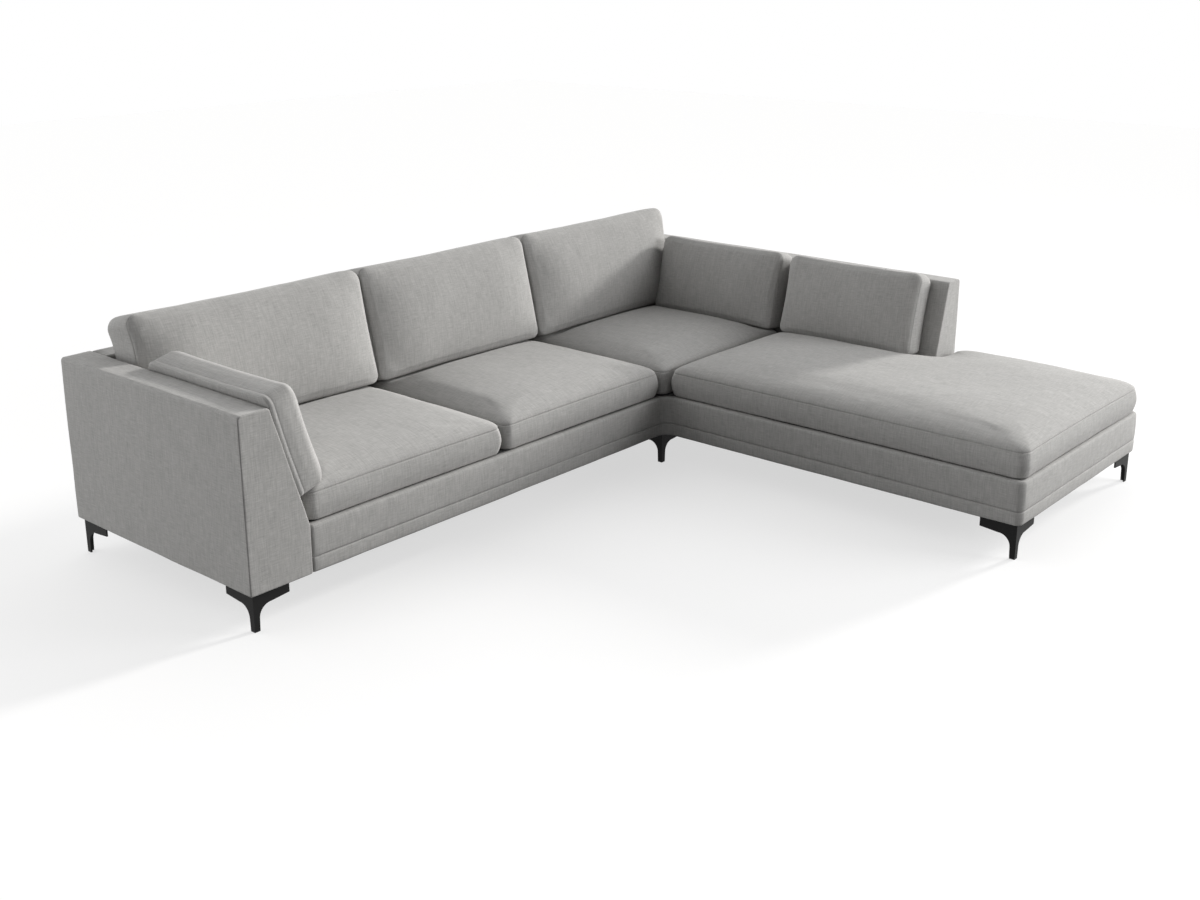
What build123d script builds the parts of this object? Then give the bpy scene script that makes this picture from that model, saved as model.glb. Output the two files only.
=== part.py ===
from build123d import *
import os
from math import atan2, cos, sin

os.makedirs("parts", exist_ok=True)

# Corner sofa, in millimetres. +Z is up and the origin is on the floor, under the middle of the
# overall rectangle. The main run lies along X at the rear, the return runs forward along -Y on
# the +X side and ends in an open seat without a back.

# Overall sizes
overall_width = 3000.0
overall_depth = 2457.0
main_depth = 968.0
return_width = 1020.0
return_back_length = 1684.0
frame_height = 686.0
leg_height = 123.0

# Upholstered arm and backs, widest at the seat platform and narrower at the top
arm_top_width = 112.0
arm_foot_width = 232.0
back_top_depth = 96.0
back_foot_depth = 196.0
outer_padding = 14.0
inner_padding = 26.0
edge_radius = 12.0

# Upholstered band below the seat cushions, with one sewn tuck along it
band_height = 158.0
band_thickness = 28.0
tuck_rise = 52.0
tuck_width = 6.0
tuck_depth = 5.0
inner_corner_radius = 45.0
end_corner_radius = 28.0

# Timber inside
rail_thickness = 32.0
sole_thickness = 30.0
rib_thickness = 22.0
top_rail_height = 22.0
stretcher_height = 60.0
block_length = 112.0
dust_cover_thickness = 2.0
webbing_thickness = 3.0
webbing_width = 70.0
webbing_pitch = 110.0
platform_thickness = 9.0
rib_pitch = 480.0

# Seat cushions
second_seat_width = 876.0
corner_seat_reach = 16.0
seat_setback = 10.0
seat_seam_rise = 93.0
seat_shoulder_rise = 136.0
seat_crown_rise = 151.0
edge_swell = 0.10
seat_roll = 105.0
roll_run = 0.28
roll_rise = 0.70
notch_radius = 30.0
notch_gap = 12.0
boxing_bulge = 7.0
draw_in = 5.0
cushion_gap = 3.0
rest_gap = 0.4

# Loose back cushions and the arm pad
main_cushion_height = 406.0
main_cushion_thickness = 150.0
return_cushion_height = 314.0
return_cushion_thickness = 108.0
return_cushion_width = 643.0
return_cushion_gap = 15.0
main_bed_rise = 124.0
return_bed_rise = 116.0
main_ledge = 128.0
return_ledge = 86.0
back_crown = 30.0
first_cushion_slant = 0.18
corner_cushion_slant = 0.20
pad_length = 615.0
pad_height = 345.0
pad_thickness = 96.0
pad_crown = 16.0
pad_front_inset = 20.0
pad_seat_rise = 92.0
cushion_edge_radius = 46.0
boxing_share = 0.88
arc_sides = 6

# Legs and fixings
leg_inset = 15.0
inner_leg_shift = 2.0
leg_wing = 134.0
leg_plate = 5.0
leg_flange = 44.0
leg_flange_thickness = 4.0
leg_column = 20.0
leg_splay = 1.5
leg_column_height = 42.0
leg_wing_depth = 34.0
leg_throat_run = 13.5
leg_throat_drop = 19.0
leg_shoulder_run = 45.5
leg_shoulder_drop = 6.5
glide_thickness = 3.0
bolt_diameter = 6.0
bolt_clearance = 0.2
bolt_head_diameter = 12.0
bolt_head_height = 4.0
bolt_reach = 105.0
bolt_offset = 27.0
bolt_length = 24.0
fastener_sides = 8
support_width = 40.0
support_stud_diameter = 8.0
support_stud_length = 26.0
support_inset = 340.0
joining_bolt_diameter = 8.0
joining_head_diameter = 16.0
joining_head_height = 6.0

# Planes and levels that the pieces share
x_left = -overall_width / 2
x_right = overall_width / 2
y_rear = overall_depth / 2
y_end = -overall_depth / 2
y_front = y_rear - main_depth
y_back_end = y_rear - return_back_length
x_inner = x_right - return_width
x_split = x_inner - inner_corner_radius
x_arm = x_left + arm_foot_width
y_back = y_rear - back_foot_depth
x_return = x_right - back_foot_depth
z_base = leg_height
z_band = z_base + band_height
z_top = frame_height
z_timber = z_base + dust_cover_thickness
z_platform = z_band - platform_thickness
z_rail = z_platform - webbing_thickness
z_sole = z_timber + sole_thickness
z_rib = z_top - outer_padding - top_rail_height
arm_slope = (arm_foot_width - arm_top_width) / (z_top - z_band)
back_slope = (back_foot_depth - back_top_depth) / (z_top - z_band)
x_corner_seat = x_inner - corner_seat_reach
x_seat_split = x_corner_seat - second_seat_width
y_seat_front = y_front + seat_setback


def keep(piece, name):
    """Labels a finished piece and writes it."""
    piece.label = name
    export_step(piece, f"parts/{name}.step")


def board(x0, x1, y0, y1, z0, z1):
    """A plain board between two corners, added to the open part."""
    with Locations(((x0 + x1) / 2, (y0 + y1) / 2, (z0 + z1) / 2)):
        Box(x1 - x0, y1 - y0, z1 - z0)


def prism(plane, outline, length, mode=Mode.ADD):
    """Extrudes a closed outline of straight sides from its plane."""
    with BuildSketch(plane) as section:
        with BuildLine():
            Polyline(*outline, close=True)
        make_face()
    extrude(section.sketch, amount=length, mode=mode)


def lofted(planes, outlines):
    """A closed soft form through sections of lines and arcs, each arc in a few flat sides."""
    with BuildPart() as form:
        for plane, outline in zip(planes, outlines):
            with BuildSketch(plane):
                with BuildLine():
                    for points in outline:
                        if len(points) == 2:
                            Line(*points)
                        else:
                            arc = ThreePointArc(*points, mode=Mode.PRIVATE)
                            Polyline(*[arc @ (i / arc_sides) for i in range(arc_sides + 1)])
                make_face()
        loft(ruled=True)
    return form.part


def evenly(start, end, thickness, pitch):
    """Left edges of boards of one thickness, spread from start to end about a pitch apart."""
    count = max(2, round((end - start - thickness) / pitch) + 1)
    step = (end - start - thickness) / (count - 1)
    return [start + step * i for i in range(count)]


# Sections of the arm and the backs: distance in from the outer face, and height
def shell_outline(top_width, foot_width):
    return [
        (0, z_base),
        (0, z_top),
        (top_width, z_top),
        (foot_width, z_band),
        (foot_width, z_base),
    ]


def cavity_outline(top_width, foot_width):
    return [
        (outer_padding, z_base),
        (outer_padding, z_top - outer_padding),
        (top_width - inner_padding, z_top - outer_padding),
        (foot_width - inner_padding, z_band),
        (foot_width, z_band),
        (foot_width, z_base),
    ]


def rib_shoulder(top_width, foot_width):
    """How far in the cavity's sloping wall is at the underside of the top rail."""
    fall = top_rail_height / (z_top - outer_padding - z_band)
    return top_width - inner_padding + (foot_width - top_width) * fall


def rib_outline(top_width, foot_width):
    return [
        (outer_padding, z_sole),
        (outer_padding, z_rib),
        (rib_shoulder(top_width, foot_width), z_rib),
        (foot_width - inner_padding, z_band),
        (foot_width, z_band),
        (foot_width, z_sole),
    ]


def top_rail_outline(top_width, foot_width):
    return [
        (outer_padding, z_rib),
        (outer_padding, z_top - outer_padding),
        (top_width - inner_padding, z_top - outer_padding),
        (rib_shoulder(top_width, foot_width), z_rib),
    ]


def sole_outline(foot_width):
    return [
        (outer_padding, z_timber),
        (outer_padding, z_sole),
        (foot_width, z_sole),
        (foot_width, z_timber),
    ]


# Planes for those sections: local X runs in from the outer face and local Y runs up
def arm_plane(y):
    return Plane(origin=(x_left, y, 0), x_dir=(1, 0, 0), z_dir=(0, -1, 0))


def return_plane(y):
    return Plane(origin=(x_right, y, 0), x_dir=(-1, 0, 0), z_dir=(0, 1, 0))


def back_plane(x):
    return Plane(origin=(x, y_rear, 0), x_dir=(0, -1, 0), z_dir=(-1, 0, 0))


def clear_of_arm():
    """Cuts the open part off against the sloping inner face of the arm."""
    prism(
        arm_plane(y_front),
        shell_outline(arm_top_width, arm_foot_width),
        -main_depth,
        Mode.SUBTRACT,
    )


def clear_of_main_back():
    """Cuts the open part off against the sloping inner face of the main back."""
    prism(
        back_plane(x_left),
        shell_outline(back_top_depth, back_foot_depth),
        -overall_width,
        Mode.SUBTRACT,
    )


# Leg places: ridge of the angle, and the way its two wings run
legs = {
    "leg_front_left": (x_left + leg_inset, y_front + leg_inset, 1, 1),
    "leg_rear_left": (x_left + leg_inset, y_rear - leg_inset, 1, -1),
    "leg_inner_corner": (x_inner - inner_leg_shift, y_front + leg_inset, 1, 1),
    "leg_end_inner": (x_inner + leg_inset, y_end + leg_inset, 1, 1),
    "leg_end_outer": (x_right - leg_inset, y_end + leg_inset, -1, 1),
    "leg_rear_right": (x_right - leg_inset, y_rear - leg_inset, -1, -1),
}
bolt_places = []
for ridge_x, ridge_y, way_x, way_y in legs.values():
    bolt_places.append((ridge_x + way_x * bolt_reach, ridge_y + way_y * bolt_offset))
    bolt_places.append((ridge_x + way_x * bolt_offset, ridge_y + way_y * bolt_reach))
support_places = [
    (x_split - rail_thickness / 2, y_front + support_inset),
    (x_split - rail_thickness / 2, y_back - rail_thickness / 2),
    ((x_arm + x_split) / 2, y_front + support_inset),
    (x_return - rail_thickness / 2, y_back_end + support_inset),
    ((x_inner + x_right) / 2, y_back_end - rail_thickness / 2),
]


def shank(plane, diameter, length, sides=fastener_sides, mode=Mode.ADD):
    """A fastener's shank or head with flat sides, or a hole for one, from its plane."""
    with BuildSketch(plane) as section:
        RegularPolygon(diameter / 2, sides)
    extrude(section.sketch, amount=length, mode=mode)


def fixing_holes():
    """Cuts every leg bolt's and support stud's hole out of the open part."""
    low = z_base - bolt_length
    for x, y in bolt_places:
        hole = bolt_diameter + 2 * bolt_clearance
        shank(Plane((x, y, low)), hole, 2 * bolt_length, mode=Mode.SUBTRACT)
    for x, y in support_places:
        hole = support_stud_diameter + 2 * bolt_clearance
        shank(Plane((x, y, low)), hole, bolt_length + support_stud_length, mode=Mode.SUBTRACT)


# Arm: upholstered cover, timber sole, plywood ribs and top rail, through to the rear
arm_inner_start = y_front + outer_padding
arm_inner_length = main_depth - 2 * outer_padding
with BuildPart() as arm_cover:
    prism(arm_plane(y_front), shell_outline(arm_top_width, arm_foot_width), -main_depth)
    front_end = arm_cover.faces().sort_by(Axis.Y)[0].edges()
    rear_end = arm_cover.faces().sort_by(Axis.Y)[-1].edges()
    rounded = arm_cover.edges().filter_by(Axis.Y).group_by(Axis.Z)[-1]
    rounded += front_end.sort_by(Axis.Z)[1:]
    rounded += rear_end.sort_by(Axis.X)[:1] + rear_end.sort_by(Axis.Z)[-1:]
    fillet(rounded, radius=edge_radius)
    prism(
        arm_plane(arm_inner_start),
        cavity_outline(arm_top_width, arm_foot_width),
        -arm_inner_length,
        Mode.SUBTRACT,
    )
keep(arm_cover.part, "arm_cover")

with BuildPart() as arm_sole:
    prism(arm_plane(arm_inner_start), sole_outline(arm_foot_width), -arm_inner_length)
    fixing_holes()
keep(arm_sole.part, "arm_sole")

with BuildPart() as arm_ribs:
    for y in evenly(arm_inner_start, arm_inner_start + arm_inner_length, rib_thickness, rib_pitch):
        prism(arm_plane(y), rib_outline(arm_top_width, arm_foot_width), -rib_thickness)
keep(arm_ribs.part, "arm_ribs")

with BuildPart() as arm_top_rail:
    prism(
        arm_plane(arm_inner_start),
        top_rail_outline(arm_top_width, arm_foot_width),
        -arm_inner_length,
    )
keep(arm_top_rail.part, "arm_top_rail")


# Main back, in two lengths that meet at the module joint, and the return's back
def back_pieces(suffix, x0, x1, at_arm):
    """Cover, sole, ribs and top rail of one length of the main back, one of which meets the arm."""
    inside = (x_arm, x1) if at_arm else (x0, x1 - outer_padding)
    length = inside[1] - inside[0]
    with BuildPart() as cover:
        prism(back_plane(x0), shell_outline(back_top_depth, back_foot_depth), x0 - x1)
        rounded = cover.edges().filter_by(Axis.X).group_by(Axis.Z)[-1]
        if not at_arm:
            outer_end = cover.faces().sort_by(Axis.X)[-1].edges()
            rounded += outer_end.sort_by(Axis.Y)[-1:] + outer_end.sort_by(Axis.Z)[-1:]
        fillet(rounded, radius=edge_radius)
        prism(
            back_plane(inside[0]),
            cavity_outline(back_top_depth, back_foot_depth),
            -length,
            Mode.SUBTRACT,
        )
        if at_arm:
            clear_of_arm()
    keep(cover.part, f"back_cover_{suffix}")

    with BuildPart() as sole:
        prism(back_plane(inside[0]), sole_outline(back_foot_depth), -length)
        fixing_holes()
    keep(sole.part, f"back_sole_{suffix}")

    with BuildPart() as ribs:
        for x in evenly(inside[0], inside[1], rib_thickness, rib_pitch):
            prism(back_plane(x), rib_outline(back_top_depth, back_foot_depth), -rib_thickness)
    keep(ribs.part, f"back_ribs_{suffix}")

    with BuildPart() as rail:
        prism(back_plane(inside[0]), top_rail_outline(back_top_depth, back_foot_depth), -length)
    keep(rail.part, f"back_top_rail_{suffix}")


back_pieces("main", x_left, x_split, True)
back_pieces("corner", x_split, x_right, False)

return_inner_start = y_back_end + outer_padding
with BuildPart() as return_back_cover:
    prism(
        return_plane(y_back_end),
        shell_outline(back_top_depth, back_foot_depth),
        return_back_length,
    )
    rounded = return_back_cover.edges().filter_by(Axis.Y).group_by(Axis.Z)[-1]
    rounded += return_back_cover.faces().sort_by(Axis.Y)[0].edges().sort_by(Axis.Z)[1:]
    fillet(rounded, radius=edge_radius)
    prism(
        return_plane(return_inner_start),
        cavity_outline(back_top_depth, back_foot_depth),
        return_back_length,
        Mode.SUBTRACT,
    )
    clear_of_main_back()
keep(return_back_cover.part, "return_back_cover")

with BuildPart() as return_sole:
    prism(return_plane(return_inner_start), sole_outline(back_foot_depth), y_back - return_inner_start)
    fixing_holes()
keep(return_sole.part, "return_sole")

with BuildPart() as return_ribs:
    for y in evenly(return_inner_start, y_back, rib_thickness, rib_pitch):
        prism(return_plane(y), rib_outline(back_top_depth, back_foot_depth), rib_thickness)
keep(return_ribs.part, "return_ribs")

with BuildPart() as return_top_rail:
    prism(
        return_plane(return_inner_start),
        top_rail_outline(back_top_depth, back_foot_depth),
        y_back - return_inner_start,
    )
keep(return_top_rail.part, "return_top_rail")


# Base rails of the main run
y_rail = y_front + band_thickness
with BuildPart() as front_rail:
    board(x_arm, x_split, y_rail, y_rail + rail_thickness, z_timber, z_rail)
keep(front_rail.part, "main_front_rail")

with BuildPart() as rear_rail:
    board(x_arm, x_split, y_back - rail_thickness, y_back, z_timber, z_rail)
    fixing_holes()
keep(rear_rail.part, "main_rear_rail")

joining_height = (z_timber + z_rail) / 2
joining_places = [y_rail + support_inset / 2, y_back - support_inset / 2]
joining_hole = joining_bolt_diameter + 2 * bolt_clearance


def joining_plane(x, y):
    """The plane across a joining bolt: its normal runs along +X."""
    return Plane(origin=(x, y, joining_height), x_dir=(0, 1, 0), z_dir=(1, 0, 0))


def joining_holes():
    """Cuts the holes of the bolts that join the two modules."""
    for y in joining_places:
        start = joining_plane(x_split - rail_thickness, y)
        shank(start, joining_hole, 2 * rail_thickness, mode=Mode.SUBTRACT)


with BuildPart() as side_rails:
    y0 = y_rail + rail_thickness
    y1 = y_back - rail_thickness
    board(x_arm, x_arm + rail_thickness, y0, y1, z_timber, z_rail)
    board(x_split - rail_thickness, x_split, y0, y1, z_timber, z_rail)
    fixing_holes()
    joining_holes()
keep(side_rails.part, "main_side_rails")

with BuildPart() as stretchers:
    middle = (x_arm + x_split) / 2
    board(
        middle - rail_thickness / 2,
        middle + rail_thickness / 2,
        y_rail + rail_thickness,
        y_back - rail_thickness,
        z_timber,
        z_timber + stretcher_height,
    )
    fixing_holes()
keep(stretchers.part, "main_stretcher")

# Base rails of the corner and the return
x_inner_rail = x_inner + band_thickness
y_end_rail = y_end + band_thickness
x_outer_rail = x_right - band_thickness
with BuildPart() as joint_rail:
    board(x_split, x_split + rail_thickness, y_rail, y_back, z_timber, z_rail)
    joining_holes()
keep(joint_rail.part, "corner_joint_rail")

with BuildPart() as cross_rails:
    for y in [y_rail, y_back - rail_thickness]:
        board(
            x_split + rail_thickness,
            x_return - rail_thickness,
            y,
            y + rail_thickness,
            z_timber,
            z_rail,
        )
    board(
        x_inner_rail + rail_thickness,
        x_outer_rail,
        y_back_end - rail_thickness,
        y_back_end,
        z_timber,
        z_rail,
    )
    fixing_holes()
keep(cross_rails.part, "return_cross_rails")

with BuildPart() as inner_rail:
    board(
        x_inner_rail,
        x_inner_rail + rail_thickness,
        y_end_rail + rail_thickness,
        y_rail,
        z_timber,
        z_rail,
    )
    fixing_holes()
keep(inner_rail.part, "return_inner_rail")

with BuildPart() as outer_rails:
    board(x_return - rail_thickness, x_return, y_back_end, y_back, z_timber, z_rail)
    board(
        x_outer_rail - rail_thickness,
        x_outer_rail,
        y_end_rail + rail_thickness,
        y_back_end - rail_thickness,
        z_timber,
        z_rail,
    )
    fixing_holes()
keep(outer_rails.part, "return_outer_rails")

with BuildPart() as end_rail:
    board(x_inner_rail, x_outer_rail, y_end_rail, y_end_rail + rail_thickness, z_timber, z_rail)
    fixing_holes()
keep(end_rail.part, "return_end_rail")

with BuildPart() as corner_block:
    board(
        x_split + rail_thickness,
        x_inner_rail + rail_thickness,
        y_rail + rail_thickness,
        y_rail + rail_thickness + block_length,
        z_timber,
        z_timber + stretcher_height,
    )
    fixing_holes()
keep(corner_block.part, "inner_corner_block")


# Elastic webbing from rail to rail, the padded platform over it, and the dust cover below
with BuildPart() as main_webbing:
    for x in evenly(x_arm + rail_thickness, x_split - rail_thickness, webbing_width, webbing_pitch):
        board(x, x + webbing_width, y_rail, y_back, z_rail, z_platform)
keep(main_webbing.part, "main_webbing")

with BuildPart() as return_webbing:
    for y in evenly(y_rail + rail_thickness, y_back - rail_thickness, webbing_width, webbing_pitch):
        board(x_split, x_return, y, y + webbing_width, z_rail, z_platform)
    for y in evenly(y_back_end, y_rail, webbing_width, webbing_pitch):
        board(x_inner_rail, x_return, y, y + webbing_width, z_rail, z_platform)
    for y in evenly(y_end_rail, y_back_end - rail_thickness, webbing_width, webbing_pitch):
        board(x_inner_rail, x_outer_rail, y, y + webbing_width, z_rail, z_platform)
keep(return_webbing.part, "return_webbing")

with BuildPart() as main_platform:
    board(x_arm, x_split, y_rail, y_back, z_platform, z_band)
keep(main_platform.part, "main_platform")

with BuildPart() as return_platform:
    prism(
        Plane.XY.offset(z_platform),
        [
            (x_split, y_rail),
            (x_inner_rail, y_rail),
            (x_inner_rail, y_end_rail),
            (x_outer_rail, y_end_rail),
            (x_outer_rail, y_back_end),
            (x_return, y_back_end),
            (x_return, y_back),
            (x_split, y_back),
        ],
        platform_thickness,
    )
keep(return_platform.part, "return_platform")

with BuildPart() as main_dust_cover:
    board(x_arm, x_split, y_rail, y_rear - outer_padding, z_base, z_timber)
    board(x_left + outer_padding, x_arm, y_front + outer_padding, y_rear - outer_padding, z_base, z_timber)
    fixing_holes()
keep(main_dust_cover.part, "main_dust_cover")

with BuildPart() as return_dust_cover:
    prism(
        Plane.XY.offset(z_base),
        [
            (x_split, y_rail),
            (x_inner_rail, y_rail),
            (x_inner_rail, y_end_rail),
            (x_outer_rail, y_end_rail),
            (x_outer_rail, y_back_end),
            (x_return, y_back_end),
            (x_return, return_inner_start),
            (x_right - outer_padding, return_inner_start),
            (x_right - outer_padding, y_rear - outer_padding),
            (x_split, y_rear - outer_padding),
        ],
        dust_cover_thickness,
    )
    fixing_holes()
keep(return_dust_cover.part, "return_dust_cover")


# Bands: the outline is extruded in three steps, narrower where the fabric is tucked and sewn
z_tuck = z_base + tuck_rise
y_band_join = y_end + end_corner_radius + band_thickness


def straight_band(x0, x1, y0, y1, tuck_side):
    """A straight band with its tuck on the side that tuck_side names."""
    with BuildPart() as band:
        board(x0, x1, y0, y1, z_base, z_band)
        face = band.faces().sort_by(tuck_side)[0]
        fillet(face.edges().sort_by(Axis.Z)[-1:], radius=edge_radius / 2)
        spot = face.center()
        with Locations((spot.X, spot.Y, z_tuck)):
            Box(
                x1 - x0 if tuck_side.direction.X == 0 else 2 * tuck_depth,
                y1 - y0 if tuck_side.direction.Y == 0 else 2 * tuck_depth,
                tuck_width,
                mode=Mode.SUBTRACT,
            )
    return band.part


keep(straight_band(x_arm, x_split, y_front, y_rail, Axis.Y), "main_front_band")


def inner_band_outline(height, inset):
    """The return's inner side, with the hollow corner to the main run, set in by inset."""
    radius = inner_corner_radius + inset
    centre = (x_split, y_front - inner_corner_radius)
    wide = inner_corner_radius + band_thickness
    with BuildSketch(Plane.XY.offset(height)) as outline:
        with BuildLine():
            Line((x_split, centre[1] + wide), (x_split, centre[1] + radius))
            CenterArc(centre, radius, 0, 90)
            Line((x_split + radius, centre[1]), (x_split + radius, y_band_join))
            Line((x_split + radius, y_band_join), (x_split + wide, y_band_join))
            Line((x_split + wide, y_band_join), (x_split + wide, centre[1]))
            CenterArc(centre, wide, 0, 90)
        make_face()
    return outline.sketch


def end_band_outline(height, inset):
    """The open end with its two rounded corners, set in by inset."""
    x0 = x_inner + inset
    x1 = x_right - inset
    y0 = y_end + inset
    radius = end_corner_radius - inset
    corner = end_corner_radius
    with BuildSketch(Plane.XY.offset(height)) as outline:
        with BuildLine():
            Line((x_inner_rail, y_band_join), (x0, y_band_join))
            Line((x0, y_band_join), (x0, y_end + corner))
            CenterArc((x_inner + corner, y_end + corner), radius, 180, 90)
            Line((x_inner + corner, y0), (x_right - corner, y0))
            CenterArc((x_right - corner, y_end + corner), radius, 270, 90)
            Line((x1, y_end + corner), (x1, y_band_join))
            Line((x1, y_band_join), (x_outer_rail, y_band_join))
            Line((x_outer_rail, y_band_join), (x_outer_rail, y_end_rail))
            Line((x_outer_rail, y_end_rail), (x_inner_rail, y_end_rail))
            Line((x_inner_rail, y_end_rail), (x_inner_rail, y_band_join))
        make_face()
    return outline.sketch


def tucked_band(outline):
    """A band of any outline: full below and above the tuck, narrower in it."""
    steps = [
        (z_base, z_tuck - tuck_width / 2, 0),
        (z_tuck - tuck_width / 2, z_tuck + tuck_width / 2, tuck_depth),
        (z_tuck + tuck_width / 2, z_band, 0),
    ]
    with BuildPart() as band:
        for low, high, inset in steps:
            extrude(outline(low, inset), amount=high - low)
    return band.part


keep(tucked_band(inner_band_outline), "return_inner_band")
keep(tucked_band(end_band_outline), "return_end_band")
keep(straight_band(x_outer_rail, x_right, y_band_join, y_back_end, -Axis.X), "return_outer_band")


# Seat cushions: crowned box cushions, drawn in along the front and pressed flat under what they carry
z_seat = z_band + rest_gap
z_seam = z_band + seat_seam_rise
z_shoulder = z_band + seat_shoulder_rise
z_crown = z_band + seat_crown_rise
z_main_bed = z_band + main_bed_rise
z_return_bed = z_band + return_bed_rise
loft_shares = [0.0, 0.03, 0.08, 0.18, 0.34, 0.66, 0.82, 0.92, 0.97, 1.0]


def swell(share):
    """How full a cushion is at a share of its width: empty at the ends, full in the middle."""
    return 1 - (2 * share - 1) ** 4


def seat_outline(front, rear, rise):
    """Section across a seat cushion, whose top has swelled by rise, from 0 to 1."""
    shoulder = z_seam + (z_shoulder - z_seam) * rise
    top = shoulder + (z_crown - z_shoulder) * rise
    middle = (z_seat + z_seam) / 2
    bend = z_seam + (shoulder - z_seam) * roll_rise
    start = boxing_bulge
    turn = start + (seat_roll - start) * roll_run
    return [
        ((rear - start, z_seat), (front + start, z_seat)),
        ((front + start, z_seat), (front, middle), (front + start, z_seam)),
        ((front + start, z_seam), (front + turn, bend), (front + seat_roll, shoulder)),
        ((front + seat_roll, shoulder), ((front + rear) / 2, top), (rear - seat_roll, shoulder)),
        ((rear - seat_roll, shoulder), (rear - turn, bend), (rear - start, z_seam)),
        ((rear - start, z_seam), (rear, middle), (rear - start, z_seat)),
    ]


def seat_cushion(x0, x1, y0, y1):
    planes = []
    outlines = []
    for share in loft_shares:
        bow = draw_in * (1 - (2 * share - 1) ** 2)
        x = x0 + (x1 - x0) * share
        planes.append(Plane(origin=(x, 0, 0), x_dir=(0, 1, 0), z_dir=(1, 0, 0)))
        outlines.append(seat_outline(y0 + bow, y1 - bow, max(swell(share), edge_swell)))
    return lofted(planes, outlines)


def cut_beyond(x, y, z):
    """Cuts away all of the open seat cushion that is right of x, behind y and above z."""
    with Locations((x, y, z)):
        Box(overall_width, overall_depth, frame_height, align=Align.MIN, mode=Mode.SUBTRACT)


y_seat_rear = y_back - cushion_gap
half_gap = cushion_gap / 2
y_ledge = y_back - main_ledge
x_ledge = x_return - return_ledge

arm_lean = atan2(arm_foot_width - arm_top_width, z_top - z_band)
pad_up = Vector(-sin(arm_lean), 0, cos(arm_lean))
pad_out = Vector(cos(arm_lean), 0, sin(arm_lean))
x_pad = x_arm - arm_slope * pad_seat_rise + rest_gap
pad_start = Vector(x_pad, y_front + pad_front_inset, z_band + pad_seat_rise)
pad_bed = Plane(origin=pad_start - pad_up * rest_gap, x_dir=pad_out, z_dir=pad_up)

with BuildPart() as seat_1:
    add(seat_cushion(x_arm + cushion_gap, x_seat_split - half_gap, y_seat_front, y_seat_rear))
    cut_beyond(x_left, y_ledge, z_main_bed)
    with Locations(pad_bed.location):
        Box(
            4 * pad_thickness,
            2 * (pad_length + pad_front_inset),
            pad_height,
            align=(Align.CENTER, Align.CENTER, Align.MIN),
            mode=Mode.SUBTRACT,
        )
keep(seat_1.part, "seat_cushion_1")

with BuildPart() as seat_2:
    add(seat_cushion(x_seat_split + half_gap, x_corner_seat - half_gap, y_seat_front, y_seat_rear))
    cut_beyond(x_left, y_ledge, z_main_bed)
keep(seat_2.part, "seat_cushion_2")

with BuildPart() as seat_corner:
    add(seat_cushion(x_corner_seat + half_gap, x_return - cushion_gap, y_front + half_gap, y_seat_rear))
    cut_beyond(x_left, y_ledge, z_main_bed)
    cut_beyond(x_ledge, y_end, z_return_bed)
keep(seat_corner.part, "seat_cushion_corner")

with BuildPart() as seat_chaise:
    add(
        seat_cushion(
            x_inner + seat_setback, x_right - seat_setback, y_end + seat_setback, y_front - half_gap
        )
    )
    cut_beyond(x_return - notch_gap, y_back_end - notch_gap, z_base)
    cut_beyond(x_ledge, y_front - return_cushion_width - 2 * cushion_gap, z_return_bed)
    notch = seat_chaise.edges().filter_by(Axis.Z).sort_by_distance((x_return, y_back_end, z_seam))[0]
    fillet(notch, radius=notch_radius)
keep(seat_chaise.part, "seat_cushion_chaise")


# Loose cushions that lean: sections across the thickness, lofted along the width
def leaning_outline(height, thickness, crown, fullness):
    """Rear side on 0 and a crowned front; fullness is 0 at the ends of the cushion and 1 between."""
    boxing = thickness * boxing_share
    front = boxing + (thickness - boxing) * fullness
    low = -boxing * back_slope
    bend = boxing + (front - boxing) * roll_rise
    rounding = cushion_edge_radius * roll_run
    lower = low + cushion_edge_radius
    upper = height - cushion_edge_radius
    return [
        ((0, low), (boxing, low)),
        ((boxing, low), (bend, low + rounding), (front, lower)),
        ((front, lower), (front + crown, height / 2), (front, upper)),
        ((front, upper), (bend, height - rounding), (boxing, height)),
        ((boxing, height), (0, height)),
        ((0, height), (0, low)),
    ]


def leaning_cushion(start, along, up, out, width, height, thickness, crown, slants):
    """A crowned cushion: start is its lower rear corner, slants tilt its two ends along the width."""
    planes = []
    outlines = []
    for share in loft_shares:
        full = max(swell(share), edge_swell)
        tilt = slants[0] * (1 - share) + slants[1] * share
        rise = up + along * tilt
        bow = draw_in * (1 - (2 * share - 1) ** 2)
        planes.append(Plane(origin=start + along * (width * share), x_dir=out, z_dir=out.cross(rise)))
        outlines.append(leaning_outline(height - bow, thickness, crown * full, full))
    return lofted(planes, outlines)


def standing(cushion, bed):
    """The cushion cut flat where it stands, just clear of its bed."""
    with BuildPart() as resting:
        add(cushion)
        split(bisect_by=bed.offset(rest_gap), keep=Keep.TOP)
    return resting.part


back_lean = atan2(back_foot_depth - back_top_depth, z_top - z_band)


def main_back_cushion(x0, x1, slants):
    y_rest = y_back + back_slope * main_bed_rise - rest_gap
    cushion = leaning_cushion(
        Vector(x0, y_rest, z_main_bed),
        Vector(1, 0, 0),
        Vector(0, sin(back_lean), cos(back_lean)),
        Vector(0, -cos(back_lean), sin(back_lean)),
        x1 - x0,
        main_cushion_height,
        main_cushion_thickness,
        back_crown,
        slants,
    )
    return standing(cushion, Plane.XY.offset(z_main_bed))


x_first = x_arm - arm_slope * main_bed_rise + cushion_gap
x_last = x_return + back_slope * main_bed_rise - cushion_gap
keep(main_back_cushion(x_first, x_seat_split - half_gap, (-first_cushion_slant, 0)), "back_cushion_1")
keep(main_back_cushion(x_seat_split + half_gap, x_corner_seat - half_gap, (0, 0)), "back_cushion_2")
keep(main_back_cushion(x_corner_seat + half_gap, x_last, (0, corner_cushion_slant)), "back_cushion_3")


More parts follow.
